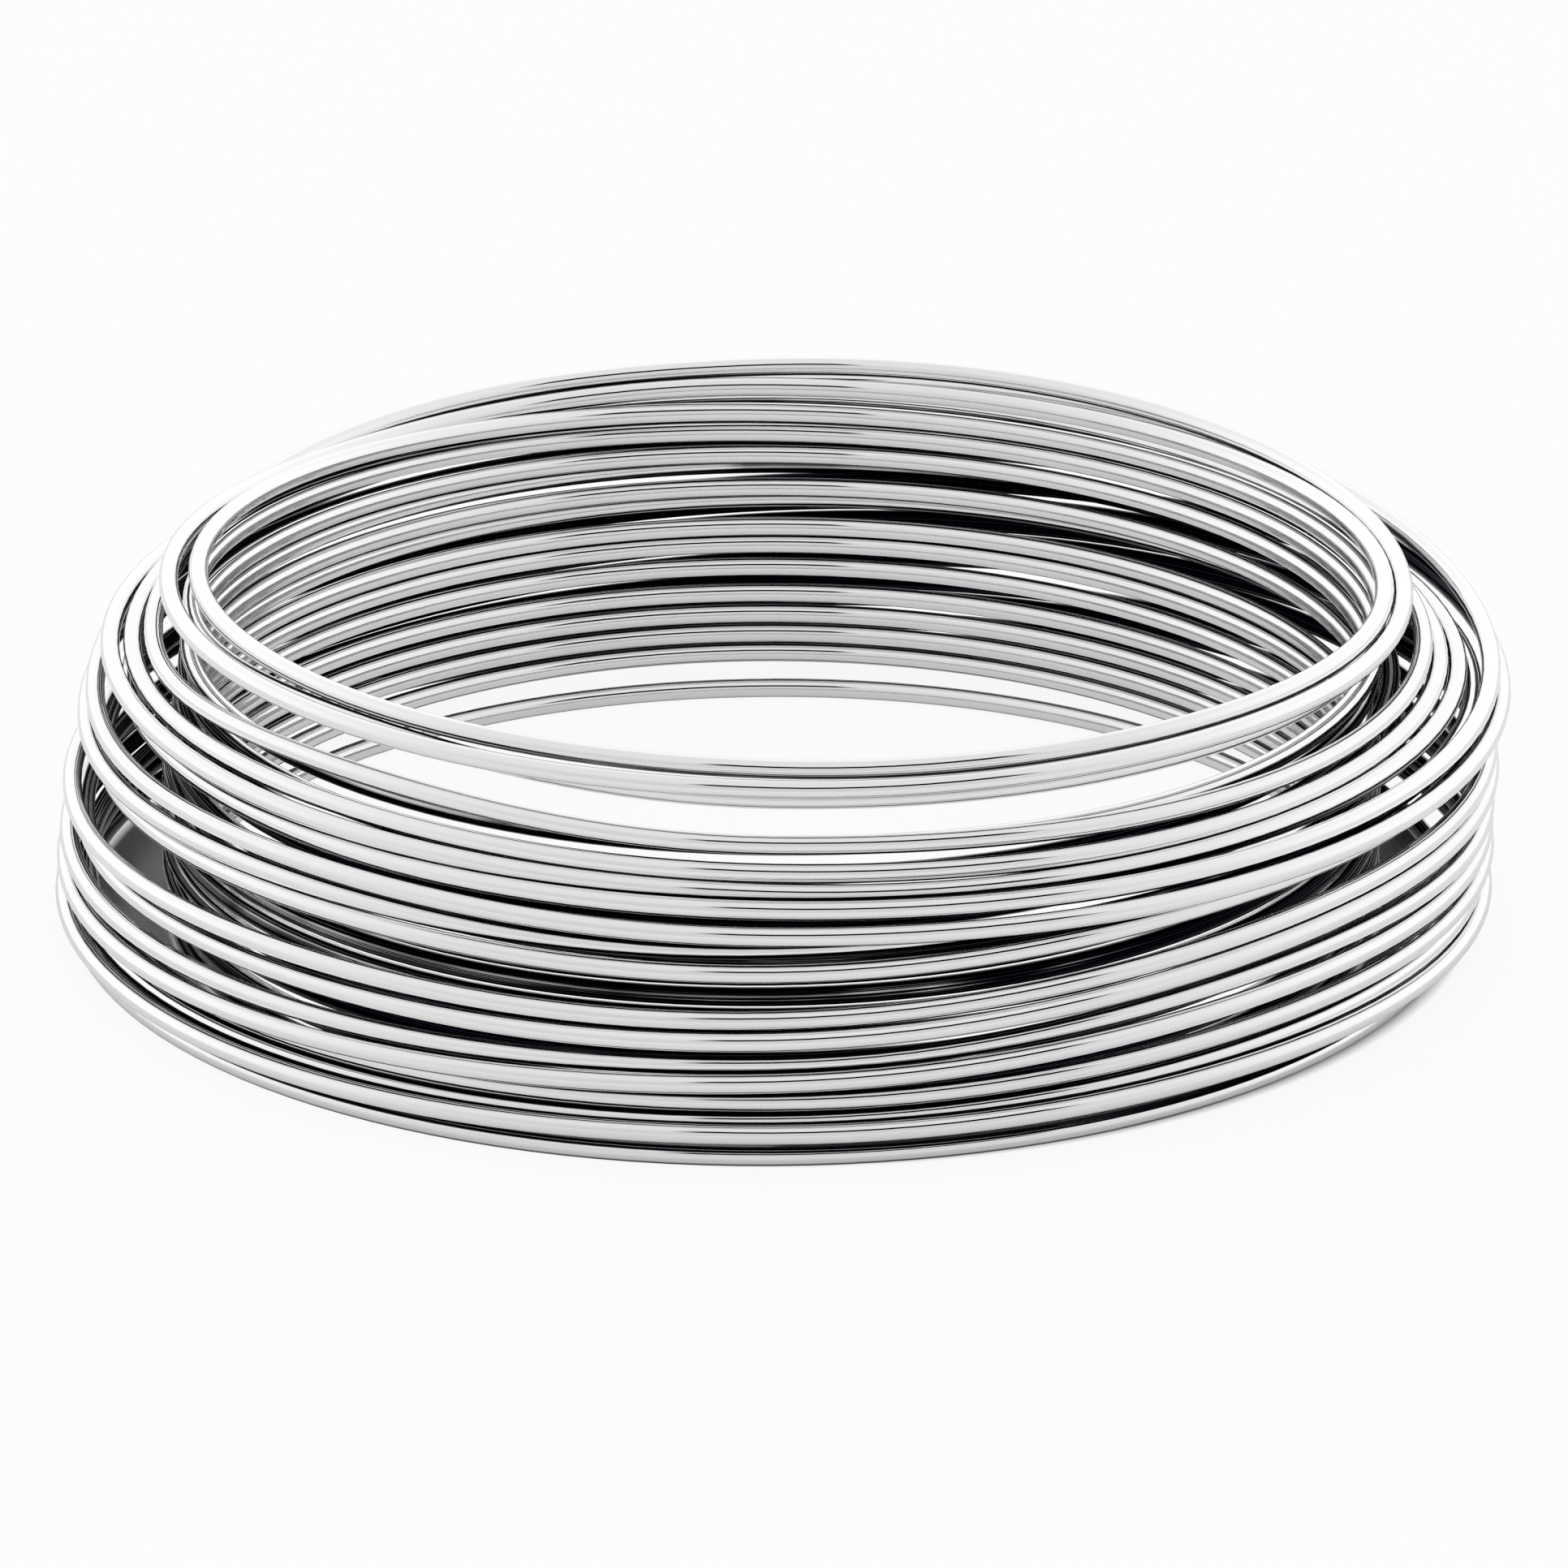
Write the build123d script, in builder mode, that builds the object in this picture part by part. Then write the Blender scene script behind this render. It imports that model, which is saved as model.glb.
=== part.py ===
from build123d import *
import math
import os

# Coil of round wire rod, lying flat on a level floor. Millimetres, +Z up.
# The origin is on the bore's axis, at the level that the lowest turns lie on.

# Driving dimensions
rod_diameter = 8.0
bore_diameter = 492.0  # inside the innermost turns
coil_height = 162.0  # lowest turn's underside to the highest turn's top
top_turns = 2  # side by side across the coil's upper end
foot_turns = 6  # side by side across its lower end
end_gap = 1.2  # clear space between the turns across an end
side_gap = 3.3  # least clear height between the turns up the outside
belly_height = 66.0  # where the outside is widest
belly_bulge = 4.0  # how far the outside stands out there, past the foot
shoulder_curve = 1.6  # power of the curve in from the belly to the top: 1 is a cone
foot_curve = 2.0  # the same, from the belly down to the foot
rest_flat = 0.15  # depth of the flat that each lowest turn rests on

rod_radius = rod_diameter / 2
inner_radius = bore_diameter / 2 + rod_radius
end_pitch = rod_diameter + end_gap
top_radius = inner_radius + end_pitch * (top_turns - 1)
foot_radius = inner_radius + end_pitch * (foot_turns - 1)
belly_radius = foot_radius + belly_bulge
low_height = rod_radius - rest_flat
high_height = coil_height - rod_radius


def outside_radius(height):
    """Centre radius of the outermost turn at a height: widest at the belly, less towards each end."""
    if height > belly_height:
        share = (height - belly_height) / (high_height - belly_height)
        return belly_radius - (belly_radius - top_radius) * share**shoulder_curve
    share = (belly_height - height) / (belly_height - low_height)
    return belly_radius - (belly_radius - foot_radius) * share**foot_curve


def rim_turns():
    """Centres of the turns that show, from the bore across the foot, up the outside and back."""
    foot = [(inner_radius + end_pitch * i, low_height) for i in range(foot_turns)]
    rows = math.floor((high_height - low_height) / (rod_diameter + side_gap))
    heights = [low_height + (high_height - low_height) * i / rows for i in range(1, rows)]
    outside = [(outside_radius(height), height) for height in heights]
    top = [(inner_radius + end_pitch * i, high_height) for i in reversed(range(top_turns))]
    return foot + outside + top


def heading(start, end):
    """Direction from one centre to the next, in degrees."""
    return math.degrees(math.atan2(end[1] - start[1], end[0] - start[0]))


# The coil's section is a closed outline: the bore's wall, then the rounded side of each turn,
# with the packed turns behind them between one turn and the next.
turns = rim_turns()
headings = [heading(start, end) for start, end in zip(turns, turns[1:])]
arc_starts = [180.0] + [angle + 180.0 for angle in headings]
arc_ends = headings + [180.0]

with BuildPart() as rod_coil:
    with BuildSketch(Plane.XZ):
        with BuildLine():
            arcs = []
            for centre, arc_start, arc_end in zip(turns, arc_starts, arc_ends):
                arcs.append(CenterArc(centre, rod_radius, arc_start, (arc_end - arc_start) % 360))
            for arc, next_arc in zip(arcs, arcs[1:]):
                Line(arc @ 1, next_arc @ 0)
            Line(arcs[-1] @ 1, arcs[0] @ 0)
        make_face()
    revolve(axis=Axis.Z)
    split(bisect_by=Plane.XY, keep=Keep.TOP)
rod_coil.part.label = "rod_coil"

os.makedirs("parts", exist_ok=True)
export_step(rod_coil.part, "parts/rod_coil.step")
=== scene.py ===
import math

import bpy
import numpy as np
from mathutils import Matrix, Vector


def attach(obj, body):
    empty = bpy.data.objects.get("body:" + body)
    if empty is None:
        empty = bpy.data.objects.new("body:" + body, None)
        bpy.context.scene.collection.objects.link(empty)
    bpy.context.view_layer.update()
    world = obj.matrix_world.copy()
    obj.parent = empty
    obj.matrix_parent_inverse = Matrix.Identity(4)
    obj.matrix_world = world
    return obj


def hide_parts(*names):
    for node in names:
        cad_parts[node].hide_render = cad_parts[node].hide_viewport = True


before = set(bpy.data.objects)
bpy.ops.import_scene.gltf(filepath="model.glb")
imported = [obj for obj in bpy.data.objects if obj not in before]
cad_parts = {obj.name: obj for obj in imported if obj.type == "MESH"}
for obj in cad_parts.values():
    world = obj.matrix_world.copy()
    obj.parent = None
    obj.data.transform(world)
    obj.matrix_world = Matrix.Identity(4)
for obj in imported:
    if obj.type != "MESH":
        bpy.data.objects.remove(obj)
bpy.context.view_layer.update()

# Coil of bright round wire rod, lying flat. Metres, +Z up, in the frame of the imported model.
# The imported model's coil is one turned solid. Here one long round rod replaces it, wound turn by turn.

MM = 0.001

# The rod
ROD_RADIUS = 4.0 * MM
CHAMFER = 0.4 * MM  # on the two sawn ends
RADIAL_SIDES = 24
SIDE_ANGLES = np.linspace(0, 2 * math.pi, RADIAL_SIDES, endpoint=False)
STEPS_PER_TURN = 128
STATIONS = 4  # places in each turn that the tables below give: front, right, back and left
START_AZIMUTH = math.radians(270)  # the front, on the camera's side

# Places between the stations, as a share of the turn from the front
FRONT_RIGHT = 1 / 8
RIGHT_BACK = 3 / 8
BACK_LEFT = 5 / 8
LEFT_FRONT = 7 / 8
LIFT_REACH = 1 / 8  # share of a turn, each way, over which a lift falls to nothing

# The turns in the order that the rod goes through them, as radius and height in millimetres at the
# front, right, back and left: first up the inner layer, then down the outer one. The last two numbers
# lift the turn half way from the left to the front, and half way from the front to the right.
# Where a turn shows they were read off the photograph, and where it is hidden they are guessed.
INNER_LAYER = [
    (262, 4, 250, 4, 245, 4, 250, 4, 0, 0),
    (262, 13, 250, 14, 250, 19, 250, 16, 0, 0),
    (262, 22, 250, 24, 250, 28, 252, 27, 0, 0),
    (262, 34, 250, 35, 250, 37, 252, 38, 0, 0),
    (262, 44, 250, 46, 250, 46.5, 252, 49, 0, 0),
    (262, 53, 250, 57, 250, 58.5, 252, 60, 0, 0),
    (262, 62, 250, 68, 250, 69, 252, 70, 0, 0),
    (262, 71, 250, 78, 250, 77, 250, 80, 0, 0),
    (262, 80, 260, 88, 258, 87, 248, 90, 0, 0),
    (260, 92.5, 250, 97, 250, 95, 246, 100, 0, 0),
    (258, 102, 258, 105, 258.5, 102.5, 245, 110, 0, 0),
    (256, 112.5, 250, 111, 250, 110, 244, 121, 0, 0),
    (254, 124.5, 252, 121.5, 250, 120, 243, 138, 6, -2),
    (252, 144, 254, 132.5, 250, 130.5, 241, 152, 0, 1),
]
OUTER_LAYER = [
    (248, 155.5, 255, 143.5, 249, 140, 251.7, 148.5, 0, 2),
    (257, 150, 263, 141.5, 258, 147, 258.5, 126, 8.5, 2.5),
    (262, 128, 271.5, 119.5, 266, 128, 267.7, 121, 2.5, -1),
    (267, 117, 278, 113, 268, 118, 277.5, 118.5, -2, -1),
    (271, 108.5, 286, 109, 270, 108, 268, 108, 1, 0),
    (279, 108.5, 300, 108.5, 290, 129, 283.7, 99, 4.5, 0),
    (284, 96, 303.7, 99.5, 284, 119, 287.4, 88, 5.5, 0),
    (277, 87, 292.5, 100, 276, 88, 280, 78, 4.5, 0),
    (286, 82.5, 295, 90, 278, 78, 293.5, 61, 4, 5),
    (290, 62.5, 299, 77, 278, 69, 288, 50, 3, 4.5),
    (293, 54.5, 299.5, 68.5, 280, 60, 295, 39.5, 0, 5.5),
    (289, 43, 298, 52, 282, 50, 296, 28.5, 0, 8),
    (296, 37.5, 297.5, 43.5, 284, 40, 288, 25, 0, 5),
    (292, 28, 298, 33, 286, 31, 289.5, 16, 0, 3.5),
    (289.7, 18.5, 295, 23, 287, 21, 297, 13, -1, 2),
    (298, 16.3, 297, 14.5, 288, 12, 292, 5, 0, 3),
]
LAST_TURN = (292, 4, 284, 4, 294, 4)  # front, right and back, where the rod ends
# More lifts, as the turn, counted from 0 at the inner end, the place in it, and millimetres
BACK_LIFTS = [(14, BACK_LEFT, -5), (15, BACK_LEFT, 5), (25, RIGHT_BACK, 4.5), (19, RIGHT_BACK, 2)]

# How turns that overlap are moved apart
CLEARANCE = 0.1 * MM  # the space between two turns that each round aims at
SETTLE_ROUNDS = 400
SETTLE_SHARE = 0.35  # how much of an overlap each round takes away
TINY = 1e-9  # added to each distance, because a turn's distance to itself is divided by too

# How much light reaches each place on the rod. The steel's colour takes it as painted shade.
LOOKS = 16  # directions in which each place is tested
OWN_REACH = 1.01 * ROD_RADIUS  # a centre this near a place on the surface is that of its own turn
NEARLY_LEVEL = 1e-6  # a look that falls less than this doesn't meet the floor
FOOT_INSIDE = 240.0 * MM  # the floor under the coil, which gets no light
FOOT_OUTSIDE = 308.0 * MM
SPREAD = math.radians(60)  # how far round the rod a place takes light from its neighbours
SPREAD_SHARE = 0.65  # how much of its light it takes so

# The steel
WAY_MAP = "rod_way"
LIGHT_ATTRIBUTE = "openness"
STEEL_TONES = [(0.87, 0.87, 0.875, 1), (0.91, 0.91, 0.915, 1)]
# Painted shade: the steel's colour goes to this near-black where little light reaches between the turns
PAINTED_GAP_SHADE = (0.008, 0.008, 0.016, 1)  # where no light comes in between the turns
DARK_TO_LIT = (0.22, 0.37)  # black up to the first of these shares of the light, and lit from the second
# Painted shade: a lit place's colour is a little darker where less of the light reaches it
LIT_TO_OPEN = (0.35, 0.75)  # a lit place gains the rest of its brightness between these
LIT_SHARE = 0.96  # of its brightness before that
LINE_SCALE = (3.0, 1.2)  # of the fine drawing lines, round the rod and along it
DRIFT_SCALE = (0.6, 3.0)  # of the tone's drift
PLAIN_NOISE = {"Scale": 1.0, "Detail": 2.0, "Roughness": 0.5}
LINE_NOISE = (0.3, 0.7)  # lowest and highest value of the noise that counts, here and for the drift
DRIFT_NOISE = (0.35, 0.65)
POLISH = (0.03, 0.07)  # roughness of the steel, which varies with the lines
LINE_BUMP = {"Strength": 0.015, "Distance": 0.4 * MM}

# The floor
FLOOR_HALF = 30.0
FLOOR_COLOUR = (0.9, 0.9, 0.9, 1)
WHITE = (1, 1, 1, 1)
WHITE_TO_CAMERA = 0.92  # how much of its look is plain white there, and the rest keeps the shadow
WHITE_IN_METAL = 0.3  # the same in metal and glass
# The ring of floor under the coil keeps its whole shadow, apart from the back third. Its edges are
# soft, so each is given by the two places between which it fades.
RING_INSIDE = (248.0 * MM, 256.0 * MM)
RING_OUTSIDE = (286.0 * MM, 294.0 * MM)
RING_BACK = (110.0 * MM, 160.0 * MM)  # along +Y

# The studio's light by direction. How far a direction faces the camera's side, and its height,
# both run from -1 to 1.
SIDE_TURN = (-0.5, 0.95)
SIDE_LIGHT = (1.1, 0.71)  # from behind the coil, and from the camera's side
OVERHEAD_TURN = (0.5, 0.95)
OVERHEAD_LIGHT = 0.84
# A dark band in it, with soft edges
BAND_HEIGHT = 0.68
BAND_HALF_HEIGHT = (0.10, 0.125)
BAND_AZIMUTH = math.radians(18)  # from the front towards the right
BAND_HALF_WIDTH = (math.radians(32), math.radians(37))

# The camera
CAMERA_ELEVATION = math.radians(21.0)
CAMERA_DISTANCE = 8.0
CAMERA_LENS = 438.26  # millimetres
CAMERA_TARGET = (4.4 * MM, 0.0, 53.9 * MM)
CAMERA_CLIP_END = 100.0


def spline(values, steps):
    """Smooth curve through evenly spaced values: the natural cubic, with this many steps to a span."""
    values = np.array(values, float)
    count = len(values)
    system = 4 * np.eye(count) + np.eye(count, k=1) + np.eye(count, k=-1)
    system[0] = np.eye(count)[0]
    system[-1] = np.eye(count)[-1]
    bends = np.zeros(count)
    bends[1:-1] = 6 * np.diff(values, 2)
    second = np.linalg.solve(system, bends)
    ahead = np.arange(steps) / steps
    behind = 1 - ahead
    spans = (values[:-1, None] * behind + values[1:, None] * ahead
             + ((behind**3 - behind) * second[:-1, None] + (ahead**3 - ahead) * second[1:, None]) / 6)
    return np.append(spans.ravel(), values[-1])


def by_turn(values):
    """One row for each turn and one column for each azimuth, with gaps past the rod's end."""
    turns = -(-len(values) // STEPS_PER_TURN)
    padded = np.full(turns * STEPS_PER_TURN, np.nan)
    padded[:len(values)] = values
    return padded.reshape(turns, STEPS_PER_TURN)


def smoothed(values):
    """Each value shared a little with the next ones along the rod."""
    middle = (values[:-2] + 2 * values[1:-1] + values[2:]) / 4
    return np.concatenate([values[:1], middle, values[-1:]])


def settle(radius, height):
    """Moves turns that overlap apart, and keeps them on the floor."""
    start_radius, start_height = radius, height
    same = np.arange(len(by_turn(radius)))
    for _ in range(SETTLE_ROUNDS):
        radii, heights = by_turn(radius), by_turn(height)
        across = radii[:, None] - radii[None]
        up = heights[:, None] - heights[None]
        apart = np.hypot(across, up) + TINY
        overlap = np.nan_to_num(np.clip(2 * ROD_RADIUS + CLEARANCE - apart, 0, None))
        overlap[same, same] = 0
        push = SETTLE_SHARE * overlap / apart
        out = radius + np.nansum(push * across, axis=1).ravel()[:len(radius)] - start_radius
        lift = height + np.nansum(push * up, axis=1).ravel()[:len(radius)] - start_height
        radius = start_radius + smoothed(smoothed(out))
        height = np.maximum(start_height + smoothed(smoothed(lift)), ROD_RADIUS)
    return radius, height


def hump(turns_off):
    """1 at the place itself, falling smoothly to 0 at a lift's reach from it."""
    return np.where(abs(turns_off) < LIFT_REACH, np.cos(math.pi / 2 * turns_off / LIFT_REACH)**2, 0)


def rod_path():
    """Points along the rod's centre line, from its inner end to its outer end."""
    turns = [*INNER_LAYER, *OUTER_LAYER]
    table = [value for turn in turns for value in turn[:2 * STATIONS]] + list(LAST_TURN)
    stations = MM * np.array(table)
    radius = spline(stations[0::2], STEPS_PER_TURN // STATIONS)
    height = spline(stations[1::2], STEPS_PER_TURN // STATIONS)
    lifts = []
    for index, turn in enumerate(turns):
        before_front, after_front = turn[2 * STATIONS:]
        lifts += [(index, LEFT_FRONT, before_front), (index, FRONT_RIGHT, after_front)]
    place = np.arange(len(height)) / STEPS_PER_TURN
    for index, share, lift in lifts + BACK_LIFTS:
        height += MM * lift * hump(place - index - share)
    radius, height = settle(radius, height)
    azimuth = START_AZIMUTH + np.arange(len(radius)) * 2 * math.pi / STEPS_PER_TURN
    return np.stack([radius * np.cos(azimuth), radius * np.sin(azimuth), height], axis=1)


def unit(vectors):
    """The same directions, each with a length of 1."""
    return vectors / np.linalg.norm(vectors, axis=-1, keepdims=True)


def blocked_looks(points, ahead, centres):
    """Whether each look from each point in a section ends at a turn, or at the floor under the coil."""
    blocked = np.zeros(points.shape[:2] + (LOOKS,), bool)
    for centre in centres:
        to = centre - points
        forward = (to * ahead).sum(-1)
        aside = to[..., 0] * ahead[..., 1] - to[..., 1] * ahead[..., 0]
        own = np.hypot(to[..., 0], to[..., 1]) < OWN_REACH
        blocked |= (forward > 0) & (abs(aside) < ROD_RADIUS) & ~own
    down = ahead[..., 1] < -NEARLY_LEVEL
    foot = points[..., 0] - ahead[..., 0] * points[..., 1] / np.where(down, ahead[..., 1], -1)
    return blocked | down & (abs(foot) > FOOT_INSIDE) & (abs(foot) < FOOT_OUTSIDE)


def shared_round(light):
    """Each place's light, with a part of it taken from its neighbours round the rod."""
    away = (SIDE_ANGLES[:, None] - SIDE_ANGLES + math.pi) % (2 * math.pi) - math.pi
    weights = np.where(abs(away) < SPREAD, np.cos(away * math.pi / 2 / SPREAD), 0)
    spread = light @ (weights / weights.sum(axis=0))
    return SPREAD_SHARE * spread + (1 - SPREAD_SHARE) * light


def openness(path):
    """For each ring and side, the share of the light that comes past the other turns, from 0 to 1.
    In the section through the axis each turn is a circle, on both sides of the bore."""
    radii = by_turn(np.hypot(path[:, 0], path[:, 1]))
    heights = by_turn(path[:, 2])
    # The looks are even in their sine, so that each stands for as much of the light on the surface
    slants = np.arcsin((np.arange(LOOKS) + 0.5) / LOOKS * 2 - 1)
    looks = SIDE_ANGLES[:, None] + slants
    ahead = np.stack([np.cos(looks), np.sin(looks)], axis=-1)[None]
    skin = ROD_RADIUS * np.stack([np.cos(SIDE_ANGLES), np.sin(SIDE_ANGLES)], axis=-1)
    light = np.ones((STEPS_PER_TURN, len(radii), RADIAL_SIDES))
    for column in range(STEPS_PER_TURN):
        opposite = (column + STEPS_PER_TURN // 2) % STEPS_PER_TURN
        near = np.stack([radii[:, column], heights[:, column]], axis=-1)
        far = np.stack([-radii[:, opposite], heights[:, opposite]], axis=-1)
        centres = np.concatenate([near, far])
        centres = centres[~np.isnan(centres[:, 0])]
        points = (near[:, None] + skin)[:, :, None]
        light[column] = 1 - blocked_looks(points, ahead, centres).mean(-1)
    return shared_round(light).transpose(1, 0, 2).reshape(-1, RADIAL_SIDES)[:len(path)]


def rod_rings(path):
    """The rod's corners: a ring round each point of the path, and a smaller one past each end."""
    along = unit(np.gradient(path, axis=0))
    out = unit(np.cross(along, (0, 0, 1)))
    up = np.cross(out, along)
    circle = np.cos(SIDE_ANGLES)[:, None, None] * out + np.sin(SIDE_ANGLES)[:, None, None] * up
    rings = (path + ROD_RADIUS * circle).transpose(1, 0, 2)
    ends = []
    for tip, outwards in [(0, -1), (-1, 1)]:
        middle = path[tip] + along[tip] * outwards * CHAMFER
        ends.append(middle + (ROD_RADIUS - CHAMFER) * circle[:, tip])
    return np.concatenate([ends[:1], rings, ends[1:]])


def rod_faces(ring_count):
    """The quads between the rings, and a flat cap on each end."""
    first = np.arange(ring_count - 1)[:, None] * RADIAL_SIDES
    second = first + RADIAL_SIDES
    side = np.arange(RADIAL_SIDES)
    following = (side + 1) % RADIAL_SIDES
    corners = [first + side, second + side, second + following, first + following]
    quads = np.stack(corners, axis=-1).reshape(-1, 4).tolist()
    last_ring = side + (ring_count - 1) * RADIAL_SIDES
    return quads, [side.tolist(), last_ring[::-1].tolist()]


def rod_way(path):
    """At each corner of each quad, the metres along the rod and the share of the way round it."""
    metres = np.concatenate([[0], np.cumsum(np.linalg.norm(np.diff(path, axis=0), axis=1))])
    metres = np.concatenate([metres[:1] - CHAMFER, metres, metres[-1:] + CHAMFER])
    side = np.arange(RADIAL_SIDES)
    u = np.stack([metres[:-1], metres[1:], metres[1:], metres[:-1]], axis=-1)[:, None]
    v = np.stack([side, side, side + 1, side + 1], axis=-1) / RADIAL_SIDES
    return np.stack(np.broadcast_arrays(u, v), axis=-1).reshape(-1, 2)


def make_rod(path):
    """A closed tube along the path, with chamfered ends, that holds its way and its light."""
    rings = rod_rings(path)
    quads, caps = rod_faces(len(rings))
    mesh = bpy.data.meshes.new("rod")
    mesh.from_pydata(rings.reshape(-1, 3).tolist(), [], quads + caps)
    cap_way = np.zeros((len(caps) * RADIAL_SIDES, 2))
    way = np.concatenate([rod_way(path), cap_way]).astype(np.float32)
    mesh.uv_layers.new(name=WAY_MAP).uv.foreach_set("vector", way.ravel())
    mesh.polygons.foreach_set("use_smooth", [True] * len(quads) + [False] * len(caps))
    mesh.update()
    light = openness(path)
    light = np.concatenate([light[:1], light, light[-1:]]).astype(np.float32)
    attribute = mesh.attributes.new(LIGHT_ATTRIBUTE, "FLOAT", "POINT")
    attribute.data.foreach_set("value", light.ravel())
    rod = bpy.data.objects.new("rod", mesh)
    bpy.context.scene.collection.objects.link(rod)
    return rod


class Nodes:
    """Short ways to add the nodes of one material or world."""

    def __init__(self, tree):
        self.tree = tree
        tree.nodes.clear()

    def put(self, socket, value):
        """Links another node's socket to this one, or sets this one to a plain value."""
        if isinstance(value, bpy.types.NodeSocket):
            self.tree.links.new(value, socket)
        else:
            socket.default_value = value

    def add(self, kind, inputs=(), **settings):
        node = self.tree.nodes.new(kind)
        for name, value in settings.items():
            setattr(node, name, value)
        for name, value in dict(inputs).items():
            self.put(node.inputs[name], value)
        return node

    def mix(self, factor, first, second, data_type="RGBA", socket_type="RGBA"):
        """A colour between two others, or a number with FLOAT and VALUE as the types."""
        node = self.add("ShaderNodeMix", {0: factor}, data_type=data_type)
        ends = [s for s in node.inputs if s.type == socket_type and s.name in ("A", "B")]
        for socket, value in zip(ends, [first, second]):
            self.put(socket, value)
        return next(socket for socket in node.outputs if socket.type == socket_type)

    def maths(self, operation, *values):
        return self.add("ShaderNodeMath", enumerate(values), operation=operation).outputs[0]

    def product(self, first, *others):
        for other in others:
            first = self.maths("MULTIPLY", first, other)
        return first

    def ramp(self, value, low, high, to_low=0.0, to_high=1.0, shape="LINEAR"):
        inputs = {"Value": value, "From Min": low, "From Max": high, "To Min": to_low, "To Max": to_high}
        return self.add("ShaderNodeMapRange", inputs, interpolation_type=shape).outputs[0]

    def fall(self, value, low, high):
        """1 up to the low value, and 0 from the high one."""
        return self.ramp(value, low, high, 1.0, 0.0)


def rod_material():
    """Bright drawn steel: fine lines along the rod, a tone that drifts from place to place, and painted
    shade in its colour, black in the gaps between the turns where little light reaches."""
    material = bpy.data.materials.new("bright_drawn_steel")
    material.use_nodes = True
    nodes = Nodes(material.node_tree)
    way = nodes.add("ShaderNodeUVMap", uv_map=WAY_MAP).outputs[0]
    split = nodes.add("ShaderNodeSeparateXYZ", {"Vector": way}).outputs
    round_angle = nodes.product(split["Y"], 2 * math.pi)
    cosine = nodes.maths("COSINE", round_angle)
    sine = nodes.maths("SINE", round_angle)

    def noise(across, along):
        """Noise with no seam in it, at a scale of its own round and along the rod."""
        parts = {
            "X": nodes.product(cosine, across),
            "Y": nodes.product(sine, across),
            "Z": nodes.product(split["X"], along),
        }
        place = nodes.add("ShaderNodeCombineXYZ", parts).outputs[0]
        return nodes.add("ShaderNodeTexNoise", {"Vector": place, **PLAIN_NOISE}).outputs["Fac"]

    fine_lines = noise(*LINE_SCALE)
    drift = noise(*DRIFT_SCALE)
    light = nodes.add("ShaderNodeAttribute", attribute_name=LIGHT_ATTRIBUTE).outputs["Fac"]
    # Painted shade in the base colour: black where little light gets in between the turns
    reached = nodes.ramp(light, *DARK_TO_LIT, 0.0, 1.0, "SMOOTHSTEP")
    # Painted shade: a little darker where part of the light is blocked
    shaded = nodes.ramp(light, *LIT_TO_OPEN, LIT_SHARE, 1.0)
    unshaded_steel = nodes.mix(nodes.ramp(drift, *DRIFT_NOISE), *STEEL_TONES)
    bump = nodes.add("ShaderNodeBump", {**LINE_BUMP, "Height": fine_lines}).outputs[0]
    steel = nodes.add("ShaderNodeBsdfPrincipled", {
        "Base Color": nodes.mix(nodes.product(reached, shaded), PAINTED_GAP_SHADE, unshaded_steel),
        "Metallic": 1.0,
        "Roughness": nodes.ramp(fine_lines, *LINE_NOISE, *POLISH),
        "Normal": bump,
    })
    nodes.add("ShaderNodeOutputMaterial", {"Surface": steel.outputs[0]})
    return material


def floor_material():
    """Pale and matt, and nearly white to the camera apart from the ring under the coil."""
    material = bpy.data.materials.new("pale_floor")
    material.use_nodes = True
    nodes = Nodes(material.node_tree)
    matt = nodes.add("ShaderNodeBsdfDiffuse", {"Color": FLOOR_COLOUR}).outputs[0]
    white = nodes.add("ShaderNodeEmission", {"Color": WHITE, "Strength": 1.0}).outputs[0]
    place = nodes.add("ShaderNodeTexCoord").outputs["Object"]
    from_axis = nodes.add("ShaderNodeVectorMath", {0: place}, operation="LENGTH").outputs["Value"]
    towards_back = nodes.add("ShaderNodeSeparateXYZ", {"Vector": place}).outputs["Y"]
    past_bore = nodes.ramp(from_axis, *RING_INSIDE)
    within = nodes.fall(from_axis, *RING_OUTSIDE)
    before_back = nodes.fall(towards_back, *RING_BACK)
    clear = nodes.maths("SUBTRACT", 1.0, nodes.product(past_bore, within, before_back))
    rays = nodes.add("ShaderNodeLightPath").outputs
    seen = nodes.product(rays["Is Camera Ray"], WHITE_TO_CAMERA, clear)
    mirrored = nodes.maths("ADD", rays["Is Glossy Ray"], rays["Is Transmission Ray"])
    share = nodes.maths("ADD", seen, nodes.product(mirrored, WHITE_IN_METAL))
    mixed = nodes.add("ShaderNodeMixShader", {0: share, 1: matt, 2: white}).outputs[0]
    nodes.add("ShaderNodeOutputMaterial", {"Surface": mixed})
    return material


def make_floor():
    """A level floor that keeps a weak share of the coil's shadow, and all of it under the coil."""
    half = FLOOR_HALF
    corners = [(-half, -half, 0), (half, -half, 0), (half, half, 0), (-half, half, 0)]
    mesh = bpy.data.meshes.new("floor")
    mesh.from_pydata(corners, [], [(0, 1, 2, 3)])
    mesh.materials.append(floor_material())
    floor = bpy.data.objects.new("floor", mesh)
    bpy.context.scene.collection.objects.link(floor)


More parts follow.
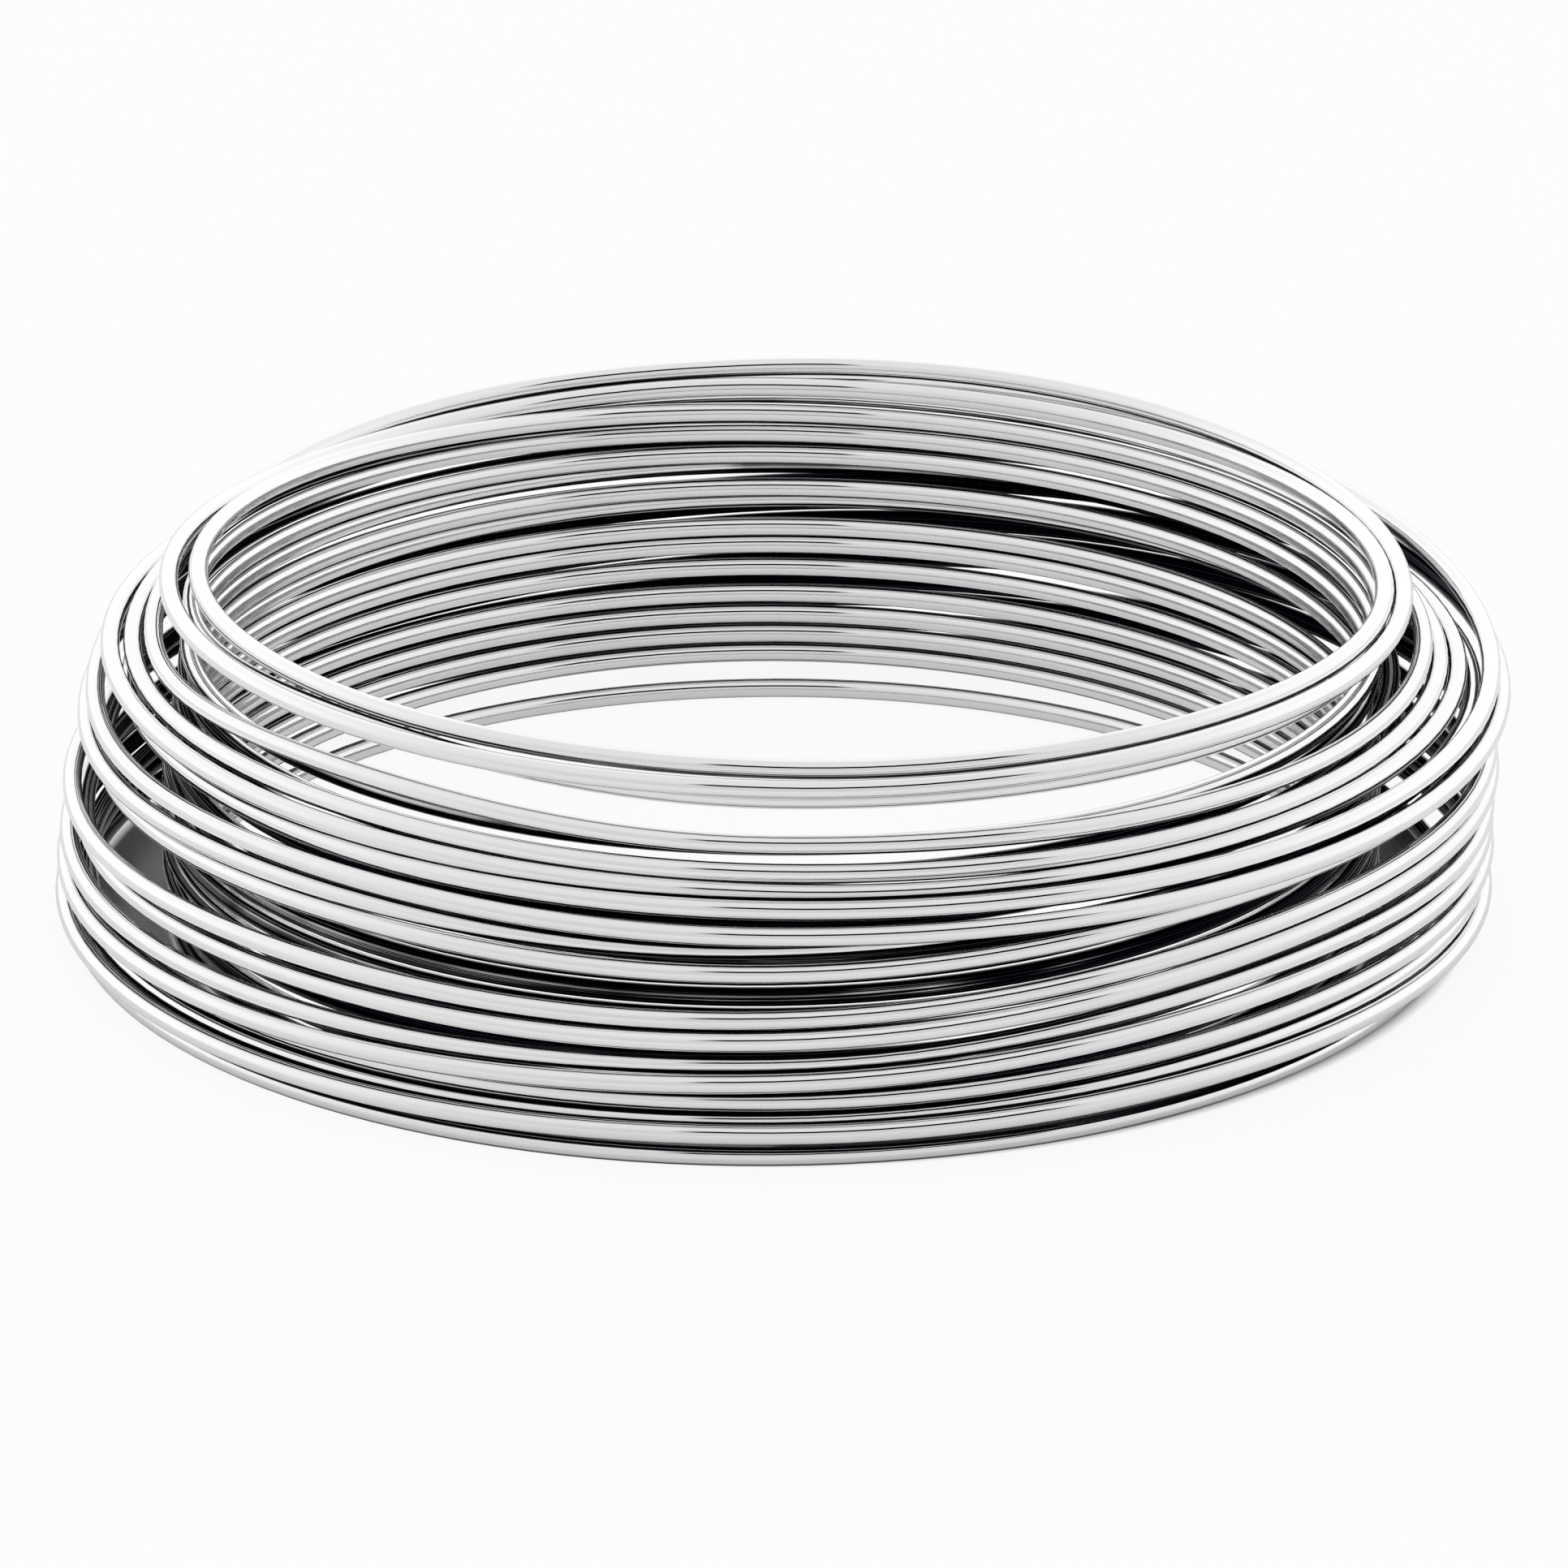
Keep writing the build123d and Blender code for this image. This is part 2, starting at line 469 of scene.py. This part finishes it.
def make_world():
    """Soft light from all round, less of it on the camera's side, with one dark band high up there."""
    world = bpy.data.worlds.new("studio")
    bpy.context.scene.world = world
    world.use_nodes = True
    nodes = Nodes(world.node_tree)
    direction = nodes.add("ShaderNodeTexCoord").outputs["Generated"]
    split = nodes.add("ShaderNodeSeparateXYZ", {"Vector": direction}).outputs
    height = split["Z"]
    facing = nodes.product(split["Y"], -1.0)
    azimuth = nodes.maths("ARCTAN2", split["X"], facing)
    side_light = nodes.ramp(facing, *SIDE_TURN, *SIDE_LIGHT, "SMOOTHSTEP")
    overhead = nodes.ramp(height, *OVERHEAD_TURN)
    light = nodes.mix(overhead, side_light, OVERHEAD_LIGHT, "FLOAT", "VALUE")
    from_band = nodes.maths("ABSOLUTE", nodes.maths("SUBTRACT", height, BAND_HEIGHT))
    from_middle = nodes.maths("ABSOLUTE", nodes.maths("SUBTRACT", azimuth, BAND_AZIMUTH))
    in_height = nodes.fall(from_band, *BAND_HALF_HEIGHT)
    in_width = nodes.fall(from_middle, *BAND_HALF_WIDTH)
    level = nodes.product(light, nodes.maths("SUBTRACT", 1.0, nodes.product(in_height, in_width)))
    colour = nodes.add("ShaderNodeCombineColor", {0: level, 1: level, 2: level}).outputs[0]
    background = nodes.add("ShaderNodeBackground", {"Color": colour, "Strength": 1.0}).outputs[0]
    nodes.add("ShaderNodeOutputWorld", {"Surface": background})


def make_camera():
    """A long lens at the photograph's viewing angle."""
    data = bpy.data.cameras.new("camera")
    data.lens = CAMERA_LENS
    data.clip_end = CAMERA_CLIP_END
    camera = bpy.data.objects.new("camera", data)
    bpy.context.scene.collection.objects.link(camera)
    back = Vector((0, -math.cos(CAMERA_ELEVATION), math.sin(CAMERA_ELEVATION)))
    camera.location = Vector(CAMERA_TARGET) + CAMERA_DISTANCE * back
    camera.rotation_euler = back.to_track_quat("Z", "Y").to_euler()
    bpy.context.scene.camera = camera


make_camera()
make_world()
make_floor()

rod = make_rod(rod_path())
rod.data.materials.append(rod_material())
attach(rod, "root")
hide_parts("rod_coil")

bpy.context.scene.view_settings.view_transform = "Standard"
